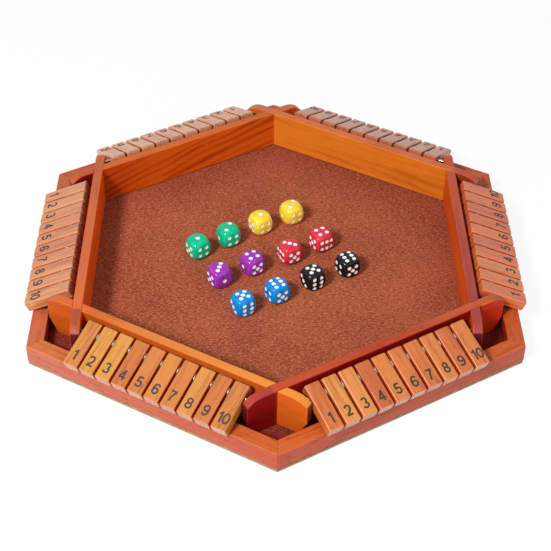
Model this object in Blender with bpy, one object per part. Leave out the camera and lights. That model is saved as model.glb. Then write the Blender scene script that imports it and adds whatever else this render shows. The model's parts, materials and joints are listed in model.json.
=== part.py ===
"""Six-player shut the box game on a hexagonal board, in metres, +Z up.

The board stands on z = 0 with its centre over the origin and one corner towards -Y.
Each of its six sides is built in a frame of its own, turned about the centre: there
+X points out across the side, and +Y runs along it to the player's right.
"""

import math

import bmesh
import bpy
from mathutils import Matrix, Vector

# Board, felt and rim
RIM_CORNER_RADIUS = 0.2035   # from the centre to an outer corner of the rim
RIM_WIDTH = 0.012
RIM_HEIGHT = 0.0148
RIM_EASE = 0.00075
BASE_EDGE_HEIGHT = 0.0019    # the part of the board that shows under the rim
BASE_EDGE_INSET = 0.0004
BASE_STEP_HEIGHT = 0.0028    # the part of the board that stands inside the rim
FELT_THICKNESS = 0.0009
SEAT_GAP = 0.0003            # between pieces that are glued or lie on each other

# Wall boards, halved together where they cross
TROUGH_WIDTH = 0.0204        # between a wall and the rim
WALL_THICKNESS = 0.007
WALL_HEIGHT = 0.0315
WALL_EASE = 0.0005
WALL_END_GAP = 0.00075       # between a board's end and the rim
SHOULDER_RUN = 0.012         # the rounded top of a board's end, along the board
SHOULDER_DROP = 0.0054       # and how far it falls
FOOT_CUT_RUN = 0.0063        # the slanted cut under a board's end
FOOT_CUT_RISE = 0.0118

# Steel rods and number tiles
ROD_RADIUS = 0.0012
ROD_CLEARANCE = 0.00025
ROD_SEAT_DEPTH = 0.0051      # how far a rod's end goes into its board
ROD_FROM_WALL = 0.0108
ROD_BELOW_WALL_TOP = 0.0069
TILE_THICKNESS = 0.0088
TILE_GAP = 0.0016
TILE_EASE = 0.0008
TILE_OVERHANG = 0.0039       # past the rim's outer face, at mid thickness
TILE_SWING_CLEARANCE = 0.00115  # between a turning tile and the wall
ROW_END_CLEARANCE = 0.0004

# Dice
DIE_EDGE = 0.016
DIE_BALL_RADIUS = 0.01025    # the ball that rounds a die's edges and corners
DIE_BLEND = 14               # how sharply its flat faces turn into the ball
PIP_RADIUS = 0.0014
PIP_DEPTH = 0.0004
PIP_SPREAD = 0.00305         # from a face's centre line to a pip's centre
PIP_LONG_SPREAD = 0.00425    # the same along the two rows of three

CUT_OVERRUN = 0.002          # how far a cutter runs past what it cuts

SIDE_COUNT = 6
TILES_PER_ROW = 10
ROUND_SIDES = 12
PIP_SIDES = 8
DIE_GRID = 7                 # points along each edge of a die's face
SHOULDER_STEPS = 4

# Each side with the angle that its outer face looks along, in degrees
SIDE_ANGLES = {"right": 0, "far_right": 60, "far_left": 120,
               "left": 180, "near_left": 240, "near_right": 300}
UPPER_BOARDS = ("left", "near_right", "far_right")
SINGLE_TILE_ROWS = ("near_left", "near_right", "right")

# Colour, top number, left front number, then the place as shares of the distance from
# the centre to a wall, and the angle that the right front face looks along, in degrees
DICE_PLACE_SHARES = {
    "die_green_1": ("green", 1, 5, -0.434, 0.088, -56),
    "die_green_2": ("green", 2, 1, -0.265, 0.191, -62),
    "die_yellow_1": ("yellow", 1, 5, -0.084, 0.303, -60),
    "die_yellow_2": ("yellow", 2, 1, 0.096, 0.397, -61),
    "die_purple_1": ("purple", 3, 5, -0.307, -0.160, -59),
    "die_purple_2": ("purple", 4, 1, -0.128, -0.057, -59),
    "die_red_1": ("red", 3, 6, 0.081, 0.042, -63),
    "die_red_2": ("red", 4, 5, 0.261, 0.150, -59),
    "die_blue_1": ("blue", 5, 3, -0.176, -0.390, -60),
    "die_blue_2": ("blue", 6, 4, 0.008, -0.289, -60),
    "die_black_1": ("black", 5, 3, 0.204, -0.179, -61),
    "die_black_2": ("black", 6, 4, 0.400, -0.071, -63),
}

# Linear base colour, metallic value and roughness of each material
MATERIALS = {
    "base_wood": ((0.16, 0.11, 0.08), 0.0, 0.7),
    "felt": ((0.24, 0.06, 0.03), 0.0, 0.95),
    "rim_wood": ((0.60, 0.15, 0.05), 0.0, 0.4),
    "wall_wood": ((0.55, 0.14, 0.03), 0.0, 0.4),
    "tile_wood": ((0.72, 0.34, 0.12), 0.0, 0.45),
    "steel": ((0.60, 0.60, 0.62), 1.0, 0.25),
    "green_die": ((0.0, 0.36, 0.12), 0.0, 0.15),
    "yellow_die": ((0.90, 0.62, 0.0), 0.0, 0.15),
    "purple_die": ((0.24, 0.01, 0.34), 0.0, 0.15),
    "red_die": ((0.62, 0.01, 0.02), 0.0, 0.15),
    "blue_die": ((0.0, 0.16, 0.70), 0.0, 0.15),
    "black_die": ((0.01, 0.01, 0.012), 0.0, 0.15),
}

# Heights, from the table up
base_top = BASE_EDGE_HEIGHT + BASE_STEP_HEIGHT
felt_bottom = base_top + SEAT_GAP
felt_top = felt_bottom + FELT_THICKNESS
rim_bottom = BASE_EDGE_HEIGHT + SEAT_GAP
rim_top = rim_bottom + RIM_HEIGHT
wall_bottom = felt_top + SEAT_GAP
wall_top = wall_bottom + WALL_HEIGHT
lap_height = (wall_bottom + wall_top) / 2
rod_height = wall_top - ROD_BELOW_WALL_TOP

# Distances from the centre, square to a side
corner_cos = math.cos(math.pi / SIDE_COUNT)
next_cos = math.cos(2 * math.pi / SIDE_COUNT)
next_sin = math.sin(2 * math.pi / SIDE_COUNT)
rim_outer = RIM_CORNER_RADIUS * corner_cos
rim_inner = rim_outer - RIM_WIDTH
wall_outer = rim_inner - TROUGH_WIDTH
wall_inner = wall_outer - WALL_THICKNESS
rod_out = wall_outer + ROD_FROM_WALL


def along_side(own, neighbour):
    """How far along a side its line at `own` meets the next side's line at `neighbour`."""
    return (neighbour - own * next_cos) / next_sin


# Distances along a side, from its middle
wall_end = along_side(wall_outer, rim_inner - WALL_END_GAP)
end_corner_out = wall_inner * next_cos + wall_end * next_sin
row_half = along_side(end_corner_out, wall_inner) - ROW_END_CLEARANCE
tile_pitch = (2 * row_half + TILE_GAP) / TILES_PER_ROW
tile_width = tile_pitch - TILE_GAP
rod_half = along_side(rod_out, wall_inner) + ROD_SEAT_DEPTH

# A tile at rest lies on the outer top edge of the rim, so that edge sets its slope
half_thick = TILE_THICKNESS / 2
rest_reach = math.hypot(rim_outer - rod_out, rod_height - rim_top)
rest_slope = math.atan2(rod_height - rim_top, rim_outer - rod_out)
tile_tilt = rest_slope - math.asin((half_thick + SEAT_GAP) / rest_reach)
swing = ROD_FROM_WALL - TILE_SWING_CLEARANCE
tile_back = math.sqrt(swing ** 2 - half_thick ** 2)
tile_front = (rim_outer + TILE_OVERHANG - rod_out) / math.cos(tile_tilt)


def polygon(radius, sides, first=0.0):
    """Corners of a regular polygon, counterclockwise."""
    turns = [first + 2 * math.pi * i / sides for i in range(sides)]
    return [(radius * math.cos(t), radius * math.sin(t)) for t in turns]


def hexagon(apothem, height):
    """A hexagon like the board, `apothem` from its centre to its sides."""
    corners = polygon(apothem / corner_cos, SIDE_COUNT, -math.pi / 2)
    return [(x, y, height) for x, y in corners]


def lofted(name, loops, ring=False):
    """A closed mesh through loops of points; a ring joins the last loop to the first."""
    bm = bmesh.new()
    rows = [[bm.verts.new(point) for point in loop] for loop in loops]
    count = len(rows[0])
    pairs = list(zip(rows, rows[1:]))
    if ring:
        pairs.append((rows[-1], rows[0]))
    for low, high in pairs:
        for i in range(count):
            j = (i + 1) % count
            bm.faces.new((low[i], low[j], high[j], high[i]))
    if not ring:
        bm.faces.new(rows[0][::-1])
        bm.faces.new(rows[-1])
    bmesh.ops.recalc_face_normals(bm, faces=bm.faces)
    mesh = bpy.data.meshes.new(name)
    bm.to_mesh(mesh)
    bm.free()
    return mesh


def material(name):
    """The Principled material of this name, made on first use."""
    found = bpy.data.materials.get(name)
    if found:
        return found
    colour, metallic, roughness = MATERIALS[name]
    found = bpy.data.materials.new(name)
    found.use_nodes = True
    shader = found.node_tree.nodes["Principled BSDF"]
    shader.inputs["Base Color"].default_value = (*colour, 1.0)
    shader.inputs["Metallic"].default_value = metallic
    shader.inputs["Roughness"].default_value = roughness
    return found


def placed(name, mesh, finish=None, parent=None, location=(0, 0, 0), rotation=(0, 0, 0)):
    """An object with this mesh and material, placed in its parent's frame."""
    ob = bpy.data.objects.new(name, mesh)
    bpy.context.collection.objects.link(ob)
    ob.parent = parent
    ob.location = location
    ob.rotation_euler = rotation
    if finish:
        if not mesh.materials:
            mesh.materials.append(None)
        ob.material_slots[0].link = "OBJECT"
        ob.material_slots[0].material = material(finish)
    return ob


def cutter(name, mesh, parent=None):
    """A shape that only cuts or joins others."""
    ob = placed(name, mesh, parent=parent)
    ob.hide_render = True
    ob.display_type = "WIRE"
    return ob


def eased(ob, width, segments=1):
    """Rounds the object's sharp edges."""
    bevel = ob.modifiers.new("eased edges", "BEVEL")
    bevel.width = width
    bevel.segments = segments
    bevel.limit_method = "ANGLE"
    bevel.angle_limit = math.radians(40)
    bevel.use_clamp_overlap = False
    return ob


def combined(ob, other, operation="DIFFERENCE"):
    """Cuts another shape out of the object, or joins it on."""
    boolean = ob.modifiers.new(other.name, "BOOLEAN")
    boolean.operation = operation
    boolean.object = other
    boolean.solver = "EXACT"
    return ob


def rounded(mesh):
    """Shades a round piece smooth, with its ends sharp."""
    mesh.shade_smooth()
    mesh.set_sharp_from_angle(angle=math.radians(40))
    return mesh


def rod_mesh(name, radius, half_length):
    """A round bar along a side, at the place of its rod."""
    section = polygon(radius, ROUND_SIDES)
    loops = [[(rod_out + x, y, rod_height + z) for x, z in section]
             for y in (-half_length, half_length)]
    return rounded(lofted(name, loops))


def box_mesh(name, low, high):
    """A box between two corners."""
    loops = [[(low[0], low[1], z), (high[0], low[1], z), (high[0], high[1], z), (low[0], high[1], z)]
             for z in (low[2], high[2])]
    return lofted(name, loops)


def tile_block(y):
    """Two loops of one tile's plain block, in the tile row's tilted frame."""
    half = tile_width / 2
    corners = [(y - half, -half_thick), (y + half, -half_thick),
               (y + half, half_thick), (y - half, half_thick)]
    return [[(x, v, w) for v, w in corners] for x in (-tile_back, tile_front)]


def wall_outline():
    """A wall board seen from outside: rounded shoulders, and slanted cuts under its ends."""
    radius = (SHOULDER_RUN ** 2 + SHOULDER_DROP ** 2) / (2 * SHOULDER_DROP)
    sweep = math.asin(SHOULDER_RUN / radius)
    half = [(wall_end - FOOT_CUT_RUN, wall_bottom), (wall_end, wall_bottom + FOOT_CUT_RISE)]
    for i in range(SHOULDER_STEPS, -1, -1):
        turn = sweep * i / SHOULDER_STEPS
        half.append((wall_end - SHOULDER_RUN + radius * math.sin(turn),
                     wall_top - radius + radius * math.cos(turn)))
    return half + [(-y, z) for y, z in reversed(half)]


def pip_places(number):
    """The centres of a number's pips, across and along its face."""
    near, far = PIP_SPREAD, PIP_LONG_SPREAD
    pair = [(near, -near), (-near, near)]
    square = pair + [(near, near), (-near, -near)]
    triple = [(side, step) for side in (near, -near) for step in (far, 0, -far)]
    return {1: [(0, 0)], 2: pair, 3: pair + [(0, 0)], 4: square,
            5: square + [(0, 0)], 6: triple}[number]


# A die's faces: the way each looks, and its across and along directions
DIE_FACES = {
    1: (Vector((0, 0, 1)), Vector((0, 1, 0)), Vector((1, 0, 0))),
    2: (Vector((1, 0, 0)), Vector((0, 1, 0)), Vector((0, 0, 1))),
    3: (Vector((0, 1, 0)), Vector((1, 0, 0)), Vector((0, 0, 1))),
    4: (Vector((0, -1, 0)), Vector((1, 0, 0)), Vector((0, 0, 1))),
    5: (Vector((-1, 0, 0)), Vector((0, 1, 0)), Vector((0, 0, 1))),
    6: (Vector((0, 0, -1)), Vector((0, 1, 0)), Vector((1, 0, 0))),
}


def pip_cutters():
    """One mesh with a shallow cone for each of the 21 pips of a die."""
    bm = bmesh.new()
    top = DIE_EDGE / 2 + CUT_OVERRUN
    tip = DIE_EDGE / 2 - PIP_DEPTH
    radius = PIP_RADIUS * (top - tip) / PIP_DEPTH
    for number, (out, across, along) in DIE_FACES.items():
        for u, v in pip_places(number):
            centre = across * u + along * v
            circle = [bm.verts.new(centre + out * top + across * x + along * y)
                      for x, y in polygon(radius, PIP_SIDES)]
            point = bm.verts.new(centre + out * tip)
            bm.faces.new(circle)
            for i, vert in enumerate(circle):
                bm.faces.new((vert, circle[i - 1], point))
    bmesh.ops.recalc_face_normals(bm, faces=bm.faces)
    mesh = bpy.data.meshes.new("pips")
    bm.to_mesh(mesh)
    bm.free()
    return mesh


def die_blank():
    """A cube whose edges and corners are rounded by a ball, as one closed mesh.

    Along each ray from the centre the surface lies at the smooth minimum of the distance
    to the cube's faces and the ball's radius.
    """
    def reach(ray):
        power = -DIE_BLEND
        faces = sum((abs(part) * 2 / DIE_EDGE) ** DIE_BLEND for part in ray)
        return (faces + DIE_BALL_RADIUS ** power) ** (1 / power)

    to_edge = DIE_EDGE / 2 / reach(Vector((0, 0, 1)))
    steps = [math.tan((2 * i / (DIE_GRID - 1) - 1) * math.pi / 4) for i in range(DIE_GRID)]
    bm = bmesh.new()
    for out, across, along in DIE_FACES.values():
        grid = []
        for u in steps:
            rays = [(out + across * u + along * v).normalized() for v in steps]
            grid.append([bm.verts.new(ray * reach(ray) * to_edge) for ray in rays])
        for near, far in zip(grid, grid[1:]):
            for i in range(DIE_GRID - 1):
                bm.faces.new((near[i], near[i + 1], far[i + 1], far[i]))
    bmesh.ops.remove_doubles(bm, verts=bm.verts, dist=1e-6)
    bmesh.ops.recalc_face_normals(bm, faces=bm.faces)
    mesh = bpy.data.meshes.new("die")
    bm.to_mesh(mesh)
    bm.free()
    return mesh


def die_mesh():
    """A rounded die with its pips cut in, centred on its own origin."""
    blank = placed("die_blank", die_blank())
    pips = cutter("die_pips", pip_cutters())
    combined(blank, pips)
    ready = blank.evaluated_get(bpy.context.evaluated_depsgraph_get())
    mesh = bpy.data.meshes.new_from_object(ready)
    for ob in (blank, pips):
        bpy.data.objects.remove(ob)
    return mesh


def die_turn(top, left, angle):
    """Turns a die so that `top` is up, and `left` is to the left of the face that looks along `angle`."""
    up, left_out = DIE_FACES[top][0], DIE_FACES[left][0]
    right_out = up.cross(left_out)
    facing = Vector((math.cos(angle), math.sin(angle), 0))
    beside = Vector((math.sin(angle), -math.cos(angle), 0))
    target = Matrix((facing, beside, Vector((0, 0, 1)))).transposed()
    source = Matrix((right_out, left_out, up))
    return (target @ source).to_euler()


def make_board():
    """The base board, the felt on it and the rim round both."""
    edge = rim_outer - BASE_EDGE_INSET
    inside = rim_inner - SEAT_GAP
    placed("base_board", lofted("base_board", [
        hexagon(edge, 0), hexagon(edge, BASE_EDGE_HEIGHT),
        hexagon(inside, BASE_EDGE_HEIGHT), hexagon(inside, base_top)]), "base_wood")
    placed("felt_lining", lofted("felt_lining", [
        hexagon(inside, felt_bottom), hexagon(inside, felt_top)]), "felt")
    section = [(rim_outer, rim_bottom), (rim_outer, rim_top - RIM_EASE),
               (rim_outer - RIM_EASE, rim_top), (rim_inner + RIM_EASE, rim_top),
               (rim_inner, rim_top - RIM_EASE), (rim_inner, rim_bottom)]
    loops = [hexagon(apothem, height) for apothem, height in section]
    placed("rim_frame", lofted("rim_frame", loops, ring=True), "rim_wood")


def make_sides():
    """An empty for each side, with the cutters that its neighbours and tiles need."""
    sides = {}
    for name, degrees in SIDE_ANGLES.items():
        frame = bpy.data.objects.new(f"side_{name}", None)
        bpy.context.collection.objects.link(frame)
        frame.rotation_euler.z = math.radians(degrees)
        if name in UPPER_BOARDS:
            low, high = lap_height - SEAT_GAP / 2, wall_top + CUT_OVERRUN
        else:
            low, high = wall_bottom - CUT_OVERRUN, lap_height + SEAT_GAP / 2
        lap = cutter(f"lap_{name}", box_mesh("lap", (wall_inner - SEAT_GAP, -wall_end, low),
                                             (wall_outer + SEAT_GAP, wall_end, high)), frame)
        bore = cutter(f"bore_{name}", rod_mesh("bore", ROD_RADIUS + ROD_CLEARANCE,
                                               rod_half + SEAT_GAP), frame)
        sides[name] = (frame, lap, bore)
    return sides


def make_walls(sides):
    """Six wall boards, each halved into both neighbours and bored for their rods."""
    names = list(SIDE_ANGLES)
    outline = wall_outline()
    mesh = lofted("wall_board", [[(x, y, z) for y, z in outline] for x in (wall_inner, wall_outer)])
    for i, name in enumerate(names):
        board = placed(f"wall_board_{name}", mesh, "wall_wood", sides[name][0])
        eased(board, WALL_EASE)
        for other in (names[i - 1], names[(i + 1) % len(names)]):
            combined(board, sides[other][1])
            combined(board, sides[other][2])


def make_tiles(sides):
    """Rods and tiles: single tiles on three sides, and a whole row with its rod on the others."""
    tile = lofted("tile", tile_block(0))
    for name, (frame, lap, bore) in sides.items():
        middles = [(i - (TILES_PER_ROW - 1) / 2) * tile_pitch for i in range(TILES_PER_ROW)]
        rod = rod_mesh("tile_rod", ROD_RADIUS, rod_half)
        if name in SINGLE_TILE_ROWS:
            placed(f"tile_rod_{name}", rod, "steel", frame)
            for number, y in enumerate(middles, 1):
                ob = placed(f"tile_{name}_{number:02d}", tile, "tile_wood", frame,
                            (rod_out, y, rod_height), (0, tile_tilt, 0))
                combined(eased(ob, TILE_EASE), bore)
        else:
            row = placed(f"tile_row_{name}", row_mesh(middles), "tile_wood", frame,
                         (rod_out, 0, rod_height), (0, tile_tilt, 0))
            combined(eased(row, TILE_EASE), cutter(f"row_rod_{name}", rod, frame), "UNION")


def row_mesh(middles):
    """The plain blocks of a whole row in one mesh, which its rod then joins."""
    bm = bmesh.new()
    for y in middles:
        bm.from_mesh(lofted("block", tile_block(y)))
    mesh = bpy.data.meshes.new("tile_row")
    bm.to_mesh(mesh)
    bm.free()
    return mesh


def make_dice():
    """Twelve dice, two of each colour, lying on the felt."""
    mesh = die_mesh()
    height = felt_top + SEAT_GAP + DIE_EDGE / 2
    for name, (colour, top, left, x_share, y_share, degrees) in DICE_PLACE_SHARES.items():
        placed(name, mesh, f"{colour}_die", None, (x_share * wall_inner, y_share * wall_inner, height),
               die_turn(top, left, math.radians(degrees)))


for old in list(bpy.data.objects):
    bpy.data.objects.remove(old)
make_board()
board_sides = make_sides()
make_walls(board_sides)
make_tiles(board_sides)
make_dice()
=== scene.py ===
"""A six-sided shut the box game: stained wood, a felt tray, steel rods, printed tiles and dice."""
import json
import math

import bmesh
import bpy
import numpy as np
from mathutils import Matrix, Vector


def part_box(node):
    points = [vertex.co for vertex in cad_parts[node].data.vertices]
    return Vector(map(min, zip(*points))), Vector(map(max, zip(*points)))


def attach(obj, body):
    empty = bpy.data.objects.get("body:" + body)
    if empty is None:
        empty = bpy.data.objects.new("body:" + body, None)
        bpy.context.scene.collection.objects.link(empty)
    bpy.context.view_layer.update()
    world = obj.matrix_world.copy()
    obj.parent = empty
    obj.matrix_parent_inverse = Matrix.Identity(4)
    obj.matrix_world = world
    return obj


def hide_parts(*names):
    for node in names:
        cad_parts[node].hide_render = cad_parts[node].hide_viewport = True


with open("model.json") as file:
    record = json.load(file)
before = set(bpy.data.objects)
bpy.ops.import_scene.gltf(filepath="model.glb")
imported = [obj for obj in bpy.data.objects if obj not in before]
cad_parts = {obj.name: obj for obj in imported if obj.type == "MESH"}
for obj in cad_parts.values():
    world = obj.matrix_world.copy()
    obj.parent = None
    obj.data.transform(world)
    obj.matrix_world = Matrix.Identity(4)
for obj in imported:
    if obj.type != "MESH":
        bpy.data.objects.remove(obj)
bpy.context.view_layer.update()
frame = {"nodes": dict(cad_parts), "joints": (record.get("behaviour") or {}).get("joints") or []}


# The picture. A long lens looks down at the near corner of the board, which stands on a plain
# pale table in a white room. A small soft lamp hangs high to the left and in front, and a weak,
# wide one fills in from the right.
LENS_MM = 87.5
SENSOR_MM = 36
CAMERA_TARGET = Vector((0.0002, -0.0085, 0.0021))
CAMERA_DISTANCE = 1.024
CAMERA_ELEVATION = 40.95
CAMERA_AZIMUTH = -0.67
CAMERA_ROLL = 0.37
CAMERA_SIGHT = 50            # how far the camera sees
LAMPS = {
    "key_lamp": (Vector((-0.89, -1.21, 1.48)), 0.42, 44.5),
    "fill_lamp": (Vector((1.30, -1.50, 1.00)), 1.2, 9),
}                            # each with its place, its width and its watts
ROOM_STRENGTH = 0.35
WHITE = (1, 1, 1, 1)
TABLE_WIDTH = 12
TABLE_COLOUR = (0.90, 0.90, 0.90, 1)
TABLE_GLOW_SHARE = 0.90      # how much of what the camera sees of the table is plain white


class Wire:
    """A node's output in one material. Sums on it add Math nodes."""

    def __init__(self, tree, socket=None):
        self.tree = tree
        self.socket = socket

    def node(self, kind, settings=None, inputs=None, output=0):
        """Adds any node with its settings, and with values or wires for its inputs."""
        made = self.tree.nodes.new("ShaderNode" + kind)
        for name, value in (settings or {}).items():
            if name != "stops":
                setattr(made, name, value)
                continue
            for extra in range(len(value) - 2):
                made.color_ramp.elements.new(0.5)
            for element, (place, colour) in zip(made.color_ramp.elements, value):
                element.position = place
                element.color = colour
        self.dress(made, inputs or {})
        return Wire(self.tree, made.outputs[output])

    def dress(self, node, inputs):
        """Sets a node's inputs, or links wires to them."""
        for name, value in inputs.items():
            self.feed(node.inputs[name], value)

    def feed(self, socket, value):
        """Sets an input, or links a wire to it."""
        if isinstance(value, Wire):
            self.tree.links.new(value.socket, socket)
        else:
            socket.default_value = value

    def math(self, operation, first, second=0.0):
        """Adds a Math node."""
        return self.node("Math", {"operation": operation}, {0: first, 1: second})

    def __add__(self, other):
        return self.math("ADD", self, other)

    def __radd__(self, other):
        return self.math("ADD", other, self)

    def __sub__(self, other):
        return self.math("SUBTRACT", self, other)

    def __rsub__(self, other):
        return self.math("SUBTRACT", other, self)

    def __mul__(self, other):
        return self.math("MULTIPLY", self, other)

    def __rmul__(self, other):
        return self.math("MULTIPLY", other, self)

    def __truediv__(self, other):
        return self.math("DIVIDE", self, other)

    def band(self, low, high):
        """A smooth step from 0 at `low` to 1 at `high`."""
        return self.node("MapRange", {"interpolation_type": "SMOOTHSTEP"},
                         {0: self, 1: low, 2: high})

    def mixed(self, first, second):
        """A colour from `first` to `second` as this value goes from 0 to 1."""
        return self.node("Mix", {"data_type": "RGBA"}, {0: self, 6: first, 7: second}, 2)

    def stored(self, name, output="Fac"):
        """What the mesh stores for each vertex under a name."""
        return self.node("Attribute", {"attribute_name": name}, output=output)

    def noise(self, place, scale, detail=2.0, roughness=0.5):
        """Smooth noise at a place, about 0.5."""
        return self.node("TexNoise", None, {"Vector": place, "Scale": scale, "Detail": detail,
                                            "Roughness": roughness})

    def scaled(self, vector, factors):
        """A vector with each part multiplied by its own factor."""
        return self.node("VectorMath", {"operation": "MULTIPLY"}, {0: vector, 1: factors})


def blank_material(name):
    """A new material, its Principled shader, and a wire to build nodes from."""
    made = bpy.data.materials.new(name)
    made.use_nodes = True
    return made, made.node_tree.nodes["Principled BSDF"], Wire(made.node_tree)


def white_to_eye(tree, shader, glow, share):
    """Shows the camera, mirrors and glass a share of plain white glow in place of this shader."""
    root = Wire(tree)
    path = [root.node("LightPath", output=name)
            for name in ("Is Camera Ray", "Is Glossy Ray", "Is Transmission Ray")]
    seen = root.math("MINIMUM", path[0] + path[1] + path[2], 1.0) * share
    return root.node("MixShader", None, {0: seen, 1: shader, 2: glow})


camera_data = bpy.data.cameras.new("camera")
camera_data.lens = LENS_MM
camera_data.sensor_width = SENSOR_MM
camera_data.clip_end = CAMERA_SIGHT
camera = bpy.data.objects.new("camera", camera_data)
bpy.context.scene.collection.objects.link(camera)
bearing = math.radians(CAMERA_AZIMUTH)
height = math.radians(CAMERA_ELEVATION)
back = Vector((math.sin(bearing) * math.cos(height), -math.cos(bearing) * math.cos(height),
               math.sin(height)))
camera.rotation_mode = "QUATERNION"
camera.rotation_quaternion = (back.to_track_quat("Z", "Y")
                              @ Matrix.Rotation(math.radians(CAMERA_ROLL), 3, "Z").to_quaternion())
camera.location = CAMERA_TARGET + CAMERA_DISTANCE * back
bpy.context.scene.camera = camera
bpy.context.scene.view_settings.view_transform = "Standard"

for name, (place, width, watts) in LAMPS.items():
    lamp_data = bpy.data.lights.new(name, "AREA")
    lamp_data.energy = watts
    lamp_data.shape = "DISK"
    lamp_data.size = width
    lamp = bpy.data.objects.new(name, lamp_data)
    bpy.context.scene.collection.objects.link(lamp)
    lamp.location = place
    lamp.rotation_mode = "QUATERNION"
    lamp.rotation_quaternion = place.to_track_quat("Z", "Y")

room = bpy.data.worlds.new("room")
bpy.context.scene.world = room
room.use_nodes = True
room_tree = room.node_tree
room_back = room_tree.nodes["Background"]
room_light = Wire(room_tree, room_back.outputs[0])
room_light.dress(room_back, {"Strength": ROOM_STRENGTH, "Color": WHITE})
room_white = room_light.node("Background", None, {"Color": WHITE, "Strength": 1.0})
room_seen = white_to_eye(room_tree, room_light, room_white, 1.0)
room_seen.feed(room_tree.nodes["World Output"].inputs["Surface"], room_seen)

table_mesh = bpy.data.meshes.new("table")
half_table = TABLE_WIDTH / 2
table_mesh.from_pydata([(-half_table, -half_table, 0), (half_table, -half_table, 0),
                        (half_table, half_table, 0), (-half_table, half_table, 0)], [], [(0, 1, 2, 3)])
table = bpy.data.objects.new("table", table_mesh)
bpy.context.scene.collection.objects.link(table)
table_paint, table_shader, table_root = blank_material("pale_table")
table_root.dress(table_shader, {"Base Color": TABLE_COLOUR, "Roughness": 0.9})
table_plain = Wire(table_paint.node_tree, table_shader.outputs[0])
table_glow = table_root.node("Emission", None, {"Color": WHITE, "Strength": 1.0})
table_seen = white_to_eye(table_paint.node_tree, table_plain, table_glow, TABLE_GLOW_SHARE)
table_seen.feed(table_paint.node_tree.nodes["Material Output"].inputs["Surface"], table_seen)
table_mesh.materials.append(table_paint)


# The base board. A thin hexagon of plain, unfinished sheet, glued under the rim, which shows
# only as a narrow edge all round and as the whole underside.
BOARD_FACE = (0.210, 0.125, 0.070, 1)
BOARD_FIBRE = (0.420, 0.290, 0.180, 1)

board_paint, board_shader, root = blank_material("unfinished_board")
place = root.node("TexCoord", output="Object")
fibre = root.noise(root.scaled(place, (1.0, 0.25, 3.0)), 900, 3, 0.6)
speck = root.noise(place, 260, 2)
root.dress(board_shader, {
    "Base Color": (fibre * 0.6 + speck * 0.4).band(0.3, 0.7).mixed(BOARD_FACE, BOARD_FIBRE),
    "Roughness": 0.8,
    "Normal": root.node("Bump", None, {"Strength": 0.3, "Distance": 0.0002, "Height": fibre})})
base_board = frame["nodes"]["base_board"]
base_board.material_slots[0].link = "OBJECT"
base_board.material_slots[0].material = board_paint


# The felt. One brown hexagon, flocked on one side, is glued over the whole floor inside the
# rim, so it lines the tray, the troughs under the tiles and the six corner pockets. It is painted
# darker in the troughs and pockets and at the foot of the walls, most at the far boards: painted shade.
FELT_CORNERS = 6
FELT_RINGS = 24
FELT_STEPS = 8
FELT_EDGE_DROP = 0.0004
FELT_EDGE_SHARE = 0.998      # where the drop at its edge begins, and its innermost ring
FELT_HEART_SHARE = 0.02
TRAY_REACH = 0.1385          # the tray's edge and the troughs', under the wall boards
TROUGH_REACH = 0.1425
# Painted shade: what the felt's colour is multiplied by in the troughs and pockets, and in part at the foot
# of the walls
TROUGH_SHADE = (0.50, 0.26, 0.34, 1)
FAR_SHADE = 0.60             # how much of that shade the tray has at the foot of a far board
SHADE_WIDTH = 0.032
FAR_WAY = (0.18, 0.45)       # towards the far boards and a little to the right
FELT_DARK = (0.215, 0.034, 0.012, 1)
FELT_MID = (0.410, 0.094, 0.039, 1)
FELT_PALE = (0.770, 0.338, 0.182, 1)


def closed_mesh(name, vertices, faces, sharp_degrees=35):
    """A mesh with its faces turned outwards, shaded smooth but for its sharp edges."""
    bm = bmesh.new()
    mesh = bpy.data.meshes.new(name)
    mesh.from_pydata(vertices, [], faces)
    bm.from_mesh(mesh)
    bmesh.ops.remove_doubles(bm, verts=bm.verts, dist=1e-7)
    bmesh.ops.recalc_face_normals(bm, faces=bm.faces)
    bm.to_mesh(mesh)
    bm.free()
    mesh.shade_smooth()
    mesh.set_sharp_from_angle(angle=math.radians(sharp_degrees))
    return mesh


def ringed(name, rings, sharp_degrees=35):
    """A closed skin through an array of rings (ring, point, xyz), with its first and last ring capped."""
    count, size = rings.shape[:2]
    ring, point = np.meshgrid(np.arange(count - 1), np.arange(size), indexing="ij")
    following = (point + 1) % size
    quads = np.stack([ring * size + point, ring * size + following,
                      (ring + 1) * size + following, (ring + 1) * size + point], -1)
    ends = [list(range(size))[::-1], list(range((count - 1) * size, count * size))]
    return closed_mesh(name, rings.reshape(-1, 3).tolist(), quads.reshape(-1, 4).tolist() + ends,
                       sharp_degrees)


def looped(name, rings, sharp_degrees=35):
    """A closed skin through rings that stand round a circle, with the last joined to the first."""
    count, size = rings.shape[:2]
    ring, point = np.meshgrid(np.arange(count), np.arange(size), indexing="ij")
    beside, following = (ring + 1) % count, (point + 1) % size
    quads = np.stack([ring * size + point, ring * size + following,
                      beside * size + following, beside * size + point], -1)
    return closed_mesh(name, rings.reshape(-1, 3).tolist(), quads.reshape(-1, 4).tolist(), sharp_degrees)


def mark(mesh, name, values, kind="FLOAT"):
    """Stores one value, or one vector, for each vertex of a mesh."""
    attribute = mesh.attributes.new(name, kind, "POINT")
    attribute.data.foreach_set("vector" if kind == "FLOAT_VECTOR" else "value",
                               np.ascontiguousarray(values, np.float32).ravel())


def vertices_of(mesh):
    """A mesh's vertices as an array."""
    values = np.empty(len(mesh.vertices) * 3, np.float32)
    mesh.vertices.foreach_get("co", values)
    return values.reshape(-1, 3)


def piece(name, mesh, body, materials, nodes=()):
    """A finished piece: rides on a body, takes a slot's finish, and stands for CAD nodes."""
    made = bpy.data.objects.new(name, mesh)
    bpy.context.scene.collection.objects.link(made)
    for index, material in enumerate(materials):
        if index == len(mesh.materials):
            mesh.materials.append(None)
        mesh.materials[index] = material
    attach(made, body)
    if nodes:
        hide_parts(*nodes)
    return made


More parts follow.
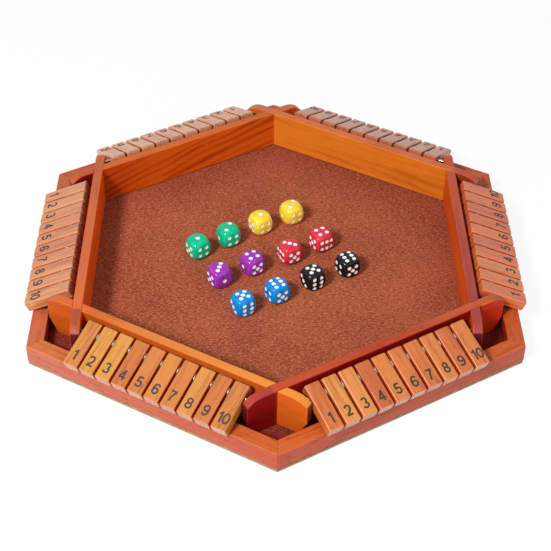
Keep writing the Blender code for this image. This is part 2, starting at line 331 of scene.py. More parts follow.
low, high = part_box("felt_lining")
corner_radius = high.y
turns = -math.pi / 2 + 2 * math.pi * np.arange(FELT_CORNERS * FELT_STEPS) / (FELT_CORNERS * FELT_STEPS)
# A hexagon in polar form: its half width over the cosine of the angle from the nearest side's middle
off_side = np.mod(turns, math.pi / 3)
off_side = np.minimum(off_side, math.pi / 3 - off_side)
outline = corner_radius * math.cos(math.pi / 6) / np.cos(off_side)
reach = high.x
inner_shares = np.linspace(TRAY_REACH / reach, FELT_HEART_SHARE, FELT_RINGS)
shares = np.concatenate([[1.0, 1.0, FELT_EDGE_SHARE, TROUGH_REACH / reach], inner_shares])
heights = np.full(len(shares), high.z)
heights[0] = low.z
heights[1] = high.z - FELT_EDGE_DROP
felt_rings = np.empty((len(shares), len(turns), 3))
felt_rings[..., 0] = shares[:, None] * outline * np.cos(turns)
felt_rings[..., 1] = shares[:, None] * outline * np.sin(turns)
felt_rings[..., 2] = heights[:, None]
felt_mesh = ringed("felt", felt_rings)
spots = vertices_of(felt_mesh)
round_turn = np.mod(np.arctan2(spots[:, 1], spots[:, 0]) + math.pi / 6, math.pi / 3) - math.pi / 6
from_middle = np.hypot(spots[:, 0], spots[:, 1]) * np.cos(round_turn)
towards_far = FAR_WAY[1] * spots[:, 1] + FAR_WAY[0] * spots[:, 0]
farness = 0.5 + towards_far / np.hypot(spots[:, 0], spots[:, 1])
# painted shade at the foot of the walls, strongest towards the far boards
edge_shade = FAR_SHADE * farness * np.exp((from_middle - TRAY_REACH) / SHADE_WIDTH)
mark(felt_mesh, "trough", np.where(from_middle > (TRAY_REACH + TROUGH_REACH) / 2, 1, edge_shade))

felt_paint, felt_shader, root = blank_material("brown_felt")
place = root.node("TexCoord", output="Object")
sway = root.node("TexNoise", None, {"Vector": place, "Scale": 90, "Detail": 2}, "Color")
bent = root.node("VectorMath", {"operation": "ADD"}, {0: place, 1: root.scaled(sway, (0.004, 0.004, 0.0))})
hair = root.noise(root.scaled(bent, (0.24, 1.0, 1.0)), 1700, 3, 0.65)
tuft = root.noise(root.scaled(place, (0.6, 1.0, 1.0)), 800, 3, 0.6)
drift = root.noise(place, 14, 2)
light_hair = hair.band(0.50, 0.74)
nap = (tuft * 0.75 + drift * 0.25).band(0.36, 0.64)
ground = nap.mixed(FELT_DARK, FELT_MID)
shaded_felt = root.node("Mix", {"data_type": "RGBA", "blend_type": "MULTIPLY"}, {
    0: root.stored("trough"),
    6: (light_hair * 0.85).mixed(ground, FELT_PALE), 7: TROUGH_SHADE}, 2)
root.dress(felt_shader, {
    "Base Color": shaded_felt, "Roughness": 0.95, "Specular IOR Level": 0.15,
    "Sheen Weight": 0.12, "Sheen Roughness": 0.5, "Sheen Tint": (0.9, 0.50, 0.35, 1),
    "Normal": root.node("Bump", None, {"Strength": 0.6, "Distance": 0.0006,
                                       "Height": hair * 0.6 + tuft * 0.4})})
felt = piece("felt_sheet", felt_mesh, "board", [felt_paint], ["felt_lining"])


# The rim. Six rails of stained wood, mitred and glued at the corners, stand on the base
# board's edge. Their long edges are sanded round, and each rail is a strip of its own plank.
SIDE_ANGLES = {"right": 0, "far_right": 60, "far_left": 120,
               "left": 180, "near_left": 240, "near_right": 300}
RAIL_EDGE_RADIUS = 0.001
RAIL_MITRE_GAP = 0.00006
RAIL_WIDTH = 0.012
RAIL_STATIONS = 9
ROUND_STEPS = 4
SHARP_ANGLE = 50             # edges sharper than this stay crisp, in degrees
RAIL_STAINS = {
    "right": (0.44, 0.064, 0.012), "far_right": (0.46, 0.080, 0.020), "far_left": (0.44, 0.078, 0.020),
    "left": (0.45, 0.092, 0.032), "near_left": (0.49, 0.105, 0.023), "near_right": (0.49, 0.084, 0.015),
}
OUTER_FACE_SHEEN_TINT = np.array((0.85, 0.76, 1.6))    # the outer faces painted rosier: a painted reflection of the sky
INNER_FACE_TINT = np.array((0.62, 0.25, 0.45))   # the inner faces are dark
FACE_BLEND = 0.0004
RAIL_FADES = {"near_left": (-0.02, -0.22, -0.40)}   # how much a rail's stain changes towards its ends
PLANK_STEP = np.array((0.37, 0.0, 0.0))          # how far apart in the wood two planks are cut
LAYER_STEP = np.array((0.0, 0.011, 0.007))
LAYERS = 5
RIBBON_WIDTH = 0.0062
END_GRAIN = (0.620, 0.300, 0.190, 1)
END_GRAIN_DARK = (0.420, 0.170, 0.100, 1)


def rounded_rectangle(width, height, radius, steps=ROUND_STEPS):
    """A rectangle about the origin with quarter circles at its corners, counterclockwise."""
    turn = np.linspace(0, math.pi / 2, steps + 1)
    arcs = []
    for quarter, (x_sign, y_sign) in enumerate(((1, 1), (-1, 1), (-1, -1), (1, -1))):
        angle = turn + quarter * math.pi / 2
        arcs.append(np.column_stack([x_sign * (width / 2 - radius) + radius * np.cos(angle),
                                     y_sign * (height / 2 - radius) + radius * np.sin(angle)]))
    return np.concatenate(arcs)


def cut_from_plank(mesh, along, across, depth, plank, stain, end=None, lean=0.0):
    """Gives a piece its wood: where each vertex lay in the plank, its stain, and its end grain. The lean
    is how far the grain runs off the piece's length, in degrees."""
    bearing = math.radians(lean)
    length = along * math.cos(bearing) + across * math.sin(bearing)
    width = across * math.cos(bearing) - along * math.sin(bearing)
    shift = PLANK_STEP * plank + LAYER_STEP * (plank % LAYERS)
    mark(mesh, "grain", np.column_stack([length, width, depth]) + shift, "FLOAT_VECTOR")
    mark(mesh, "stain", np.broadcast_to(stain, (len(along), 3)), "FLOAT_VECTOR")
    mark(mesh, "end", np.zeros(len(along)) if end is None else end)


def stained_wood(name, streak_width, streak_strength, pore_strength, roughness, gloss, coat=0.0):
    """Stained wood. Bands of darker grain, fine fibres, short pores and a cloudy stain are all noise drawn
    out along the grain, and the ribbons, where a piece has them, are waves across it that come and go.
    Each darkens the stain and turns it redder."""
    material, shader, root = blank_material(name)
    grain = root.stored("grain", "Vector")
    stain = root.stored("stain", "Vector")
    end = root.stored("end")
    ribbon_strength = root.stored("ribbon")
    wide = root.scaled(grain, (0.5, 1.0, 1.0))
    bend = root.node("TexNoise", None, {"Vector": wide, "Scale": 30, "Detail": 1}, "Color")
    bent = root.node("VectorMath", {"operation": "MULTIPLY_ADD"}, {0: bend, 1: (0.0, 0.006, 0.006), 2: grain})
    streak = root.noise(root.scaled(bent, (0.045, 1.0, 1.0)), 1 / streak_width, 4, 0.62)
    fibre = root.noise(root.scaled(bent, (0.03, 1.0, 1.0)), 2400, 2, 0.6)
    pore = root.noise(root.scaled(grain, (0.10, 1.0, 1.0)), 1500, 1).band(0.60, 0.72)
    cloud = root.noise(root.scaled(grain, (0.4, 1.0, 1.0)), 45, 3)
    band = streak.band(0.40, 0.68)
    sway = root.noise(root.scaled(grain, (0.14, 0.6, 0.6)), 60, 2)
    across = root.node("SeparateXYZ", None, {0: grain}, output=1)
    ribbon = root.math("SINE", across * (2 * math.pi / RIBBON_WIDTH) + sway * 17)
    fading = root.noise(wide, 28, 1).band(0.36, 0.60)
    dark = (band * streak_strength + (fibre - 0.5) * 0.75 + (cloud - 0.5) * 0.95 + pore * pore_strength
            + ribbon * fading * ribbon_strength + (0.16 - streak_strength * 0.3))
    shade = root.node("VectorMath", {"operation": "MULTIPLY"}, {0: stain, 1: (0.56, 0.33, 0.22)})
    pale = root.node("VectorMath", {"operation": "MULTIPLY"}, {0: stain, 1: (1.10, 1.25, 1.35)})
    colour = dark.band(0.0, 1.0).mixed(pale, shade)
    sawn = (fibre * 0.5 + cloud * 0.5).band(0.3, 0.7).mixed(END_GRAIN_DARK, END_GRAIN)
    root.dress(shader, {
        "Base Color": end.band(0.3, 0.8).mixed(colour, sawn),
        "Roughness": fibre * 0.2 + (roughness - 0.1) + end * 0.15 + pore * 0.1,
        "Normal": root.node("Bump", None, {"Strength": 0.35, "Distance": 0.00015,
                                           "Height": fibre * 0.6 + band * 0.3 - pore * 0.6}),
        "Specular IOR Level": gloss, "Coat Weight": coat, "Coat Roughness": 0.2})
    return material


def flat_faced(mesh):
    """The mesh with its normals weighted by face size, so that only its rounded edges look round."""
    blank = bpy.data.objects.new("blank", mesh)
    bpy.context.scene.collection.objects.link(blank)
    blank.modifiers.new("even", "WEIGHTED_NORMAL").keep_sharp = True
    made = bpy.data.meshes.new_from_object(blank.evaluated_get(bpy.context.evaluated_depsgraph_get()))
    bpy.data.objects.remove(blank)
    return made


def turned(mesh, matrix):
    """Puts a mesh in its place."""
    mesh.transform(matrix)
    return mesh


low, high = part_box("rim_frame")
rim_outer, rim_bottom, rim_top = high.x, low.z, high.z
rim_wood = stained_wood("stained_rim", streak_width=0.0020, streak_strength=0.42, pore_strength=0.55,
                        roughness=0.42, gloss=0.28)
rail_middle = rim_outer - RAIL_WIDTH / 2
rail_section = rounded_rectangle(RAIL_WIDTH, rim_top - rim_bottom, RAIL_EDGE_RADIUS)
rail_out = rail_middle + rail_section[:, 0]
rail_up = (rim_top + rim_bottom) / 2 + rail_section[:, 1]
rail_reach = rail_out * math.tan(math.pi / 6) - RAIL_MITRE_GAP
for number, (side, degrees) in enumerate(SIDE_ANGLES.items()):
    stations = np.linspace(-1, 1, RAIL_STATIONS)
    rings = np.empty((len(stations), len(rail_out), 3))
    rings[..., 0] = rail_out
    rings[..., 1] = stations[:, None] * rail_reach
    rings[..., 2] = rail_up
    rail_mesh = flat_faced(ringed("rail", rings, SHARP_ANGLE))
    spots = vertices_of(rail_mesh)
    outer = np.clip((spots[:, :1] - rim_outer) / FACE_BLEND + 1, 0, 1)
    inner = np.clip((rim_outer - RAIL_WIDTH - spots[:, :1]) / FACE_BLEND + 1, 0, 1)
    stain = np.array(RAIL_STAINS[side]) * (1 + outer * (OUTER_FACE_SHEEN_TINT - 1) + inner * (INNER_FACE_TINT - 1))
    stain *= 1 + spots[:, 1:2] / rail_reach.max() * np.array(RAIL_FADES.get(side, (0, 0, 0)))
    cut_from_plank(rail_mesh, spots[:, 1], spots[:, 0] - rail_middle, spots[:, 2], number, stain)
    turned(rail_mesh, Matrix.Rotation(math.radians(degrees), 4, "Z"))
    piece(f"rim_rail_{side}", rail_mesh, "board", [rim_wood], ["rim_frame"])


# The wall boards. Six thinner boards stand on the felt and cross at the tray's corners, where
# each is halved into its neighbours. Their rounded ends run on across the corner pockets
# almost to the rim, and carry the rods.
WALL_EDGE_RADIUS = 0.0007
SHOULDER_RUN = 0.012
SHOULDER_DROP = 0.0054
SHOULDER_STEPS = 12
FOOT_CUT_RUN = 0.0063
FOOT_CUT_RISE = 0.0118
LAP_GAP = 0.0001
LAP_SPARE = 0.01             # how far a lap's cutter and a bore's reach past the board
BORE_SPARE = 0.0003
UPPER_BOARDS = ("left", "near_right", "far_right")
BORE_RADIUS = 0.00145
BORE_SIDES = 24
SKIN = 0.0001                # a vertex this near to a face lies on it
WALL_PLANK = 7
WALL_STAINS = {
    "right": (0.55, 0.063, 0.0045), "far_right": (0.58, 0.137, 0.0086), "far_left": (0.56, 0.074, 0.0021),
    "left": (0.88, 0.098, 0.0022), "near_left": (0.63, 0.175, 0.028), "near_right": (0.42, 0.048, 0.013),
}
TOP_LIGHT_TINTS = {
    "right": (0.68, 0.78, 5.50), "far_right": (0.91, 0.84, 4.60), "far_left": (0.89, 1.29, 8.90),
    "left": (0.55, 1.04, 13.6), "near_left": (1, 1, 1), "near_right": (0.98, 0.98, 1.10),
}                            # what the stain is multiplied by on a board's top edge: painted light, the tops paler and pinker than the faces
# Painted shade on the outer faces, which stand in the troughs under the tiles: darker and redder, the near
# left board's the least
OUTER_SHADE_TINTS = {"near_left": (0.77, 0.44, 0.18), "near_right": (0.60, 0.08, 0.25)}
OUTER_SHADE_TINT = (0.75, 0.30, 0.50)
END_SHADE_TINT = np.array((0.30, 0.12, 0.14))     # the end faces painted dark: painted shade
END_STARTS = 0.0850          # how far along a board the parts that stand outside the tray begin
END_BLEND = 0.0008
# What the stain is multiplied by past a board's low or high end: its inner face, top edge and outer face.
# This is painted light and shade on the parts that stand into the corner pockets.
PAST_LIGHT_AND_SHADE_TINTS = {
    ("far_left", 1): ((0.40, 0.16, 0.50), (0.88, 0.70, 1.30), (1, 1, 1)),
    ("far_left", -1): ((0.90, 0.85, 1.10), (0.98, 1.12, 1.50), (1, 1, 1)),
    ("far_right", 1): ((0.90, 0.85, 1.10), (0.95, 1.00, 1.30), (1, 1, 1)),
    ("far_right", -1): ((0.50, 0.25, 0.50), (0.88, 0.70, 1.10), (1, 1, 1)),
    ("near_right", 1): ((1, 1, 1), (1.05, 1.05, 1), (2.05, 6.50, 1.30)),
    ("near_right", -1): ((1, 1, 1), (0.76, 0.64, 1.21), (0.72, 0.45, 0.55)),
    ("left", 1): ((1, 1, 1), (0.60, 0.50, 0.76), (0.85, 0.88, 0.90)),
}
# The colour also changes along some boards: what it is multiplied by at four places along one.
# Along the far left board's inner face it darkens towards its left end: painted shade.
FADE_PLACES = (-0.078, -0.035, 0.035, 0.078)
ALONG_TINTS = {
    ("near_right", "top"): ((1.05, 1.05, 1.12), (1.06, 1.04, 0.98), (0.94, 1.04, 0.95), (1.08, 1.60, 1.25)),
    ("near_left", "top"): ((0.90, 0.55, 0.80), (0.93, 0.88, 0.95), (0.98, 1.00, 1.05), (1.06, 1.12, 0.95)),
    ("left", "top"): ((0.93, 0.90, 0.95), (0.97, 0.97, 1.00), (1.00, 0.98, 1.15), (1.14, 1.06, 0.90)),
    ("right", "top"): ((0.76, 0.75, 1.20), (0.88, 0.90, 1.35), (1.04, 1.20, 1.10), (1.06, 1.10, 0.90)),
    ("far_left", "inner"): ((1, 1, 1), (1, 1, 1), (0.97, 0.94, 0.90), (0.74, 0.52, 0.40)),
}
GRAIN_LEANS = {"far_left": -10.5}
GRAIN_LEAN = 1.5             # how far the grain runs off a board's length, in degrees
RIBBON_STRENGTHS = {"far_left": 0.34}


def carved(mesh, cutters, sharp_degrees=40):
    """The mesh with the cutters' shapes taken out of it, shaded smooth but for its sharp edges."""
    blank = bpy.data.objects.new("blank", mesh)
    bpy.context.scene.collection.objects.link(blank)
    tools = []
    for cutter in cutters:
        tool = bpy.data.objects.new("tool", cutter)
        bpy.context.scene.collection.objects.link(tool)
        cut = blank.modifiers.new("cut", "BOOLEAN")
        cut.object = tool
        cut.material_mode = "INDEX"
        tools.append(tool)
    ready = blank.evaluated_get(bpy.context.evaluated_depsgraph_get())
    made = bpy.data.meshes.new_from_object(ready)
    for used in [blank, *tools]:
        bpy.data.objects.remove(used)
    made.shade_smooth()
    made.set_sharp_from_angle(angle=math.radians(sharp_degrees))
    return made


def scored(mesh, places):
    """The mesh with its faces split along planes across its length, so that its stain can change there."""
    bm = bmesh.new()
    bm.from_mesh(mesh)
    for place in places:
        bmesh.ops.bisect_plane(bm, geom=bm.verts[:] + bm.edges[:] + bm.faces[:], dist=1e-7,
                               plane_co=(0, place, 0), plane_no=(0, 1, 0))
    bm.to_mesh(mesh)
    bm.free()
    return mesh


def block(name, low, high):
    """A plain box, for cutting."""
    x, y = [low[0], high[0], high[0], low[0]], [low[1], low[1], high[1], high[1]]
    return ringed(name, np.array([[(a, b, z) for a, b in zip(x, y)] for z in (low[2], high[2])]))


def bar(name, radius, out, up, half_length, sides, ease=0.0):
    """A round bar along a side; its ends are eased by a quarter circle."""
    turn = 2 * math.pi * np.arange(sides) / sides
    bend = np.linspace(0, math.pi / 2, 4)
    inset = ease * (1 - np.sin(bend))
    place = half_length - ease * (1 - np.cos(bend))
    radii = np.concatenate([radius - inset, (radius - inset)[::-1]])
    places = np.concatenate([-place, place[::-1]])
    if not ease:
        radii, places = np.array([radius, radius]), np.array([-half_length, half_length])
    rings = np.empty((len(radii), sides, 3))
    rings[..., 0] = out + radii[:, None] * np.cos(turn)
    rings[..., 1] = places[:, None]
    rings[..., 2] = up + radii[:, None] * np.sin(turn)
    return ringed(name, rings)


low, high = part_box("wall_board_right")
wall_inner, wall_outer, wall_end = low.x, high.x, high.y
wall_bottom, wall_top = low.z, high.z
hinge_of = {joint["child"]: Vector(joint["pos_m"]) for joint in frame["joints"] if "pos_m" in joint}
rod_out = -hinge_of["tile_row_left"].x
rod_up = hinge_of["tile_row_left"].z
rod_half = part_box("tile_rod_right")[1].y
lap_height = (wall_bottom + wall_top) / 2

# The outline: a corner cut at each foot, and a shoulder that is an arc of one circle
shoulder_radius = (SHOULDER_RUN ** 2 + SHOULDER_DROP ** 2) / (2 * SHOULDER_DROP)
sweep = np.linspace(math.asin(SHOULDER_RUN / shoulder_radius), 0, SHOULDER_STEPS)
half_outline = np.concatenate([
    [[wall_end - FOOT_CUT_RUN, wall_bottom], [wall_end, wall_bottom + FOOT_CUT_RISE]],
    np.column_stack([wall_end - SHOULDER_RUN + shoulder_radius * np.sin(sweep),
                     wall_top - shoulder_radius + shoulder_radius * np.cos(sweep)])])
outline = np.concatenate([half_outline, half_outline[::-1] * (-1, 1)])
before = outline - np.roll(outline, 1, 0)
after = np.roll(outline, -1, 0) - outline
before /= np.linalg.norm(before, axis=1)[:, None]
after /= np.linalg.norm(after, axis=1)[:, None]
inward = np.column_stack([-(before + after)[:, 1], (before + after)[:, 0]])
inward /= (1 + (before * after).sum(1))[:, None]
bend = np.linspace(0, math.pi / 2, ROUND_STEPS)
inset = WALL_EDGE_RADIUS * (1 - np.sin(bend))
depth = WALL_EDGE_RADIUS * (1 - np.cos(bend))
insets = np.concatenate([inset, inset[::-1]])
depths = np.concatenate([wall_inner + depth, (wall_outer - depth)[::-1]])
wall_rings = np.empty((len(insets), len(outline), 3))
wall_rings[..., 0] = depths[:, None]
wall_rings[..., 1:] = outline + insets[:, None, None] * inward
wall_wood = stained_wood("stained_wall", streak_width=0.0066, streak_strength=0.38, pore_strength=0.15,
                         roughness=0.42, gloss=0.22)
sides = list(SIDE_ANGLES)
for number, side in enumerate(sides):
    cutters = []
    for other in (sides[number - 1], sides[(number + 1) % 6]):
        turn = Matrix.Rotation(math.radians(SIDE_ANGLES[other] - SIDE_ANGLES[side]), 4, "Z")
        lower = lap_height - LAP_GAP / 2 if other in UPPER_BOARDS else wall_bottom - LAP_SPARE
        upper = wall_top + LAP_SPARE if other in UPPER_BOARDS else lap_height + LAP_GAP / 2
        lap = block("lap", (wall_inner - LAP_GAP, -wall_end, lower), (wall_outer + LAP_GAP, wall_end, upper))
        bore = bar("bore", BORE_RADIUS, rod_out, rod_up, rod_half + BORE_SPARE, BORE_SIDES)
        cutters += [turned(lap, turn), turned(bore, turn)]
    scores = [sign * (END_STARTS + shift) for sign in (-1, 1) for shift in (-END_BLEND, END_BLEND)]
    scores += FADE_PLACES
    wall_mesh = flat_faced(scored(carved(ringed("wall", wall_rings, SHARP_ANGLE), cutters), scores))
    spots = vertices_of(wall_mesh)
    inner = np.clip(1 - (spots[:, :1] - wall_inner) / WALL_EDGE_RADIUS, 0, 1)
    outer = np.clip(1 - (wall_outer - spots[:, :1]) / WALL_EDGE_RADIUS, 0, 1)
    middle = 1 - inner - outer
    end = (np.abs(spots[:, 1:2]) > wall_end - SKIN) | (spots[:, 2:] < wall_bottom + SKIN)
    stain = np.array(WALL_STAINS[side]) * (inner + outer * np.array(OUTER_SHADE_TINTS.get(side, OUTER_SHADE_TINT))
                                           + middle * np.array(TOP_LIGHT_TINTS[side]))
    stain *= 1 - (1 - END_SHADE_TINT) * end * middle
    for part, share in (("top", middle), ("inner", inner)):
        along_tints = np.array(ALONG_TINTS.get((side, part), ((1, 1, 1),) * len(FADE_PLACES)))
        fading = np.stack([np.interp(spots[:, 1], FADE_PLACES, channel) for channel in along_tints.T], -1)
        stain *= 1 + share * (fading - 1)
    for sign in (-1, 1):
        tints = np.array(PAST_LIGHT_AND_SHADE_TINTS.get((side, sign), ((1, 1, 1),) * 3))
        past = sign * spots[:, 1:2] > END_STARTS
        stain *= np.where(past, inner * tints[0] + middle * tints[1] + outer * tints[2], 1)
    cut_from_plank(wall_mesh, spots[:, 1], spots[:, 2], spots[:, 0] - wall_inner, number + WALL_PLANK, stain,
                   lean=GRAIN_LEANS.get(side, GRAIN_LEAN))
    mark(wall_mesh, "ribbon", (inner + outer)[:, 0] * RIBBON_STRENGTHS.get(side, 0))
    turned(wall_mesh, Matrix.Rotation(math.radians(SIDE_ANGLES[side]), 4, "Z"))
    piece(f"wall_{side}", wall_mesh, "board", [wall_wood], [f"wall_board_{side}"])


# The rods. A length of drawn steel rod runs through each row of tiles, and its two ends sit
# in bores in the neighbouring wall boards.
ROD_RADIUS = 0.0012
ROD_SIDES = 28
ROD_EASE = 0.0002
SINGLE_TILE_ROWS = ("near_left", "near_right", "right")
STEEL_DARK = (0.32, 0.30, 0.29, 1)
STEEL_LIGHT = (0.56, 0.54, 0.52, 1)

steel, steel_shader, root = blank_material("drawn_steel")
place = root.node("TexCoord", output="Object")
scratch = root.noise(place, 1800, 3, 0.6)
root.dress(steel_shader, {"Base Color": scratch.band(0.3, 0.7).mixed(STEEL_DARK, STEEL_LIGHT),
                          "Roughness": scratch * 0.25 + 0.18, "Metallic": 1.0})
for side, degrees in SIDE_ANGLES.items():
    rod_mesh = turned(bar("rod", ROD_RADIUS, rod_out, rod_up, rod_half, ROD_SIDES, ROD_EASE),
                      Matrix.Rotation(math.radians(degrees), 4, "Z"))
    if side in SINGLE_TILE_ROWS:
        piece(f"steel_rod_{side}", rod_mesh, "board", [steel], [f"tile_rod_{side}"])
    else:
        piece(f"steel_rod_{side}", rod_mesh, f"tile_row_{side}", [steel])


# The number tiles. Ten to a side, each a short stick of lighter wood with rounded edges,
# drilled across near its inner end for the rod. Its outer end lies on the rim.
TILES_PER_ROW = 10
TILE_THICKNESS = 0.0088
TILE_BACK = 0.00845
TILE_FRONT = 0.02744
TILE_TILT = 22.01
TILE_EDGE_RADIUS = 0.0013
TILE_END_RADIUS = 0.0008
TILE_PLANK = 20
TILE_LEAN = 3                # the most that a tile's grain runs off its length, in degrees
TILE_FRONT_SKIN = 0.0004
TILE_RED = (0.400, 0.072, 0.014)
TILE_ORANGE = (0.500, 0.130, 0.022)
TILE_HONEY = (0.550, 0.200, 0.034)
TONES = (-0.25, 0.25, 0.75)   # the tones of these three stains
INNER_END_STAIN_AND_SHADE_TINTS = {"left": 0.60, "right": 0.95, "far_right": 0.75, "far_left": 0.75}
INNER_END_STAIN_AND_SHADE_TINT = 0.5         # darker inner ends: end grain takes more stain, and painted shade is added on top
SIDE_SHADE_TINTS = {"left": (0.95, 0.78, 0.76), "near_left": (1.00, 0.28, 0.14), "near_right": (0.80, 0.33, 0.18)}
SIDE_SHADE_TINT = (0.65, 0.36, 0.32)    # the long sides painted darker, as painted shade in the gaps between tiles, but not the row's two outermost
TILE_TONES = {
    "near_left": (0.50, 0.75, 0.75, 0.10, 0.30, 0.40, 0.25, 0.60, 0.15, 0.45),
    "near_right": (0.15, 0.70, 0.60, -0.05, 0.35, 0.20, 0.15, 0.35, 0.00, 0.30),
    "right": (0.10, 0.30, 0.45, 0.15, 0.05, 0.20, -0.05, 0.00, 0.10, 0.10),
    "far_right": (0.00, 0.10, 0.05, 0.00, 0.10, 0.10, 0.05, 0.15, 0.20, 0.15),
    "far_left": (0.30, 0.20, 0.25, 0.10, 0.30, 0.15, 0.05, 0.25, 0.20, 0.30),
    "left": (0.25, 0.35, 0.30, 0.10, 0.25, -0.05, 0.20, 0.30, 0.25, 0.35),
}
ROW_TINTS_AND_SHEEN = {
    "near_left": (0.89, 0.91, 0.70), "near_right": (1.02, 0.95, 0.95), "right": (1.18, 1.03, 1.60),
    "far_right": (1.04, 1.02, 2.07), "far_left": (1.24, 1.73, 4.60), "left": (1.03, 1.31, 2.90),
}                            # what each row's stain is multiplied by, partly painted light: the rows seen aslant are paled towards pink as a painted reflection

low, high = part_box("tile_right_01")
tile_width = high.y - low.y
tile_pitch = hinge_of["tile_right_02"].y - hinge_of["tile_right_01"].y
bend = np.linspace(0, math.pi / 2, ROUND_STEPS)
inset = TILE_END_RADIUS * (1 - np.sin(bend))
push = TILE_END_RADIUS * (1 - np.cos(bend))
insets = np.concatenate([inset, inset[::-1]])
places = np.concatenate([-TILE_BACK + push, (TILE_FRONT - push)[::-1]])
section = rounded_rectangle(tile_width, TILE_THICKNESS, TILE_EDGE_RADIUS)
shrink = 1 - 2 * insets[:, None, None] / np.array([tile_width, TILE_THICKNESS])
tile_rings = np.empty((len(insets), len(section), 3))
tile_rings[..., 0] = places[:, None]
tile_rings[..., 1:] = section * shrink
tile_hole = bar("hole", BORE_RADIUS, 0, 0, tile_width, BORE_SIDES)
tile_blank = flat_faced(carved(ringed("tile", tile_rings, SHARP_ANGLE), [tile_hole]))
tile_wood = stained_wood("stained_tile", streak_width=0.0026, streak_strength=0.48, pore_strength=0.35,
                         roughness=0.36, gloss=0.45, coat=0.4)


def tile_seat(side, number):
    """Where a tile lies: its rod's axis on this side, tipped down onto the rim."""
    along = (number - (TILES_PER_ROW + 1) / 2) * tile_pitch
    return (Matrix.Rotation(math.radians(SIDE_ANGLES[side]), 4, "Z")
            @ Matrix.Translation((rod_out, along, rod_up))
            @ Matrix.Rotation(math.radians(TILE_TILT), 4, "Y"))


def tile_stain(side, number):
    """A stain from red through orange to honey, by the tile's tone, in its row's tint."""
    stains = np.array([TILE_RED, TILE_ORANGE, TILE_HONEY]) * ROW_TINTS_AND_SHEEN[side]
    return [np.interp(TILE_TONES[side][number - 1], TONES, channel) for channel in stains.T]


def tile_body(side, number):
    """The body that carries a tile."""
    return f"tile_{side}_{number:02d}" if side in SINGLE_TILE_ROWS else f"tile_row_{side}"


for row, side in enumerate(SIDE_ANGLES):
    for number in range(1, TILES_PER_ROW + 1):
        tile_mesh = tile_blank.copy()
        spots = vertices_of(tile_mesh)
        ends = (spots[:, 0] > TILE_FRONT - TILE_FRONT_SKIN).astype(float)
        inner_end = spots[:, :1] < -TILE_BACK + TILE_END_RADIUS
        long_side = np.abs(spots[:, 1:2]) > tile_width / 2 - SKIN
        if number in (1, TILES_PER_ROW):
            long_side &= spots[:, 1:2] * (TILES_PER_ROW / 2 - number) > 0
        stain = np.array(tile_stain(side, number)) * np.where(long_side, SIDE_SHADE_TINTS.get(side, SIDE_SHADE_TINT), 1)
        stain *= np.where(inner_end, INNER_END_STAIN_AND_SHADE_TINTS.get(side, INNER_END_STAIN_AND_SHADE_TINT), 1)
        plank = TILE_PLANK + row * TILES_PER_ROW + number
        lean = TILE_LEAN * math.sin(7 * number + row)
        cut_from_plank(tile_mesh, spots[:, 0], spots[:, 1], spots[:, 2], plank, stain, ends, lean)
        turned(tile_mesh, tile_seat(side, number))
        body = tile_body(side, number)
        piece(f"number_tile_{side}_{number:02d}", tile_mesh, body, [tile_wood], [body])


# The washers. A small bright steel washer sits on the rod between each two tiles, and keeps
# them apart so that each can be turned down alone.
WASHER_RADIUS = 0.0035
WASHER_WIDTH = 0.0010
WASHER_EASE = 0.00025
WASHER_BORE = 0.0013
WASHER_SIDES = 36
# Brushed steel, its colour tinted reddish brown as a painted reflection of the stained wood round it
STEEL_WITH_WOOD_REFLECTION_DARK = (0.26, 0.19, 0.16, 1)
STEEL_WITH_WOOD_REFLECTION_LIGHT = (0.55, 0.44, 0.39, 1)

bright_steel, bright_shader, root = blank_material("bright_steel")
place = root.node("TexCoord", output="Object")
brushed = root.noise(place, 1200, 2)
root.dress(bright_shader, {"Base Color": brushed.band(0.3, 0.7).mixed(STEEL_WITH_WOOD_REFLECTION_DARK, STEEL_WITH_WOOD_REFLECTION_LIGHT),
                           "Roughness": brushed * 0.2 + 0.35, "Metallic": 1.0})


def washer_rings(along):
    """A flat ring about the rod: an eased rectangle turned about the side's length."""
    half = WASHER_WIDTH / 2
    flat = WASHER_RADIUS - WASHER_EASE
    profile = np.array([(WASHER_BORE, -half), (flat, -half), (WASHER_RADIUS, WASHER_EASE - half),
                        (WASHER_RADIUS, half - WASHER_EASE), (flat, half), (WASHER_BORE, half)])
    turn = 2 * math.pi * np.arange(WASHER_SIDES) / WASHER_SIDES
    rings = np.empty((WASHER_SIDES, len(profile), 3))
    rings[..., 0] = rod_out + np.cos(turn)[:, None] * profile[:, 0]
    rings[..., 1] = along + profile[:, 1]
    rings[..., 2] = rod_up + np.sin(turn)[:, None] * profile[:, 0]
    return rings


for side, degrees in SIDE_ANGLES.items():
    for number in range(1, TILES_PER_ROW):
        washer_mesh = looped("washer", washer_rings((number - TILES_PER_ROW / 2) * tile_pitch))
        turned(washer_mesh, Matrix.Rotation(math.radians(degrees), 4, "Z"))
        body = "board" if side in SINGLE_TILE_ROWS else f"tile_row_{side}"
        piece(f"rod_washer_{side}_{number:02d}", washer_mesh, body, [bright_steel])


# The numbers. Each tile is printed with its number in dark brown ink, upright for the player
# who sits outside its side. Every figure is drawn with strokes of one width.
FIGURE_HEIGHT = 0.008
STROKE_WIDTH = 0.00138
INK_THICKNESS = 0.00004
INK_STEP = 0.00001
FIGURE_PLACE = 0.0188        # the figure's middle, from the rod towards the rim
FIGURE_SPREAD = 0.0044       # between the two figures of the ten
INK_BROWN = (0.030, 0.013, 0.010, 1)
INK_WORN = (0.110, 0.045, 0.025, 1)


def arc(x, y, x_radius, y_radius, start, end, steps=18):
    """Points on an ellipse from one angle to another, in degrees."""
    turn = np.radians(np.linspace(start, end, steps))
    return np.column_stack([x + x_radius * np.cos(turn), y + y_radius * np.sin(turn)])


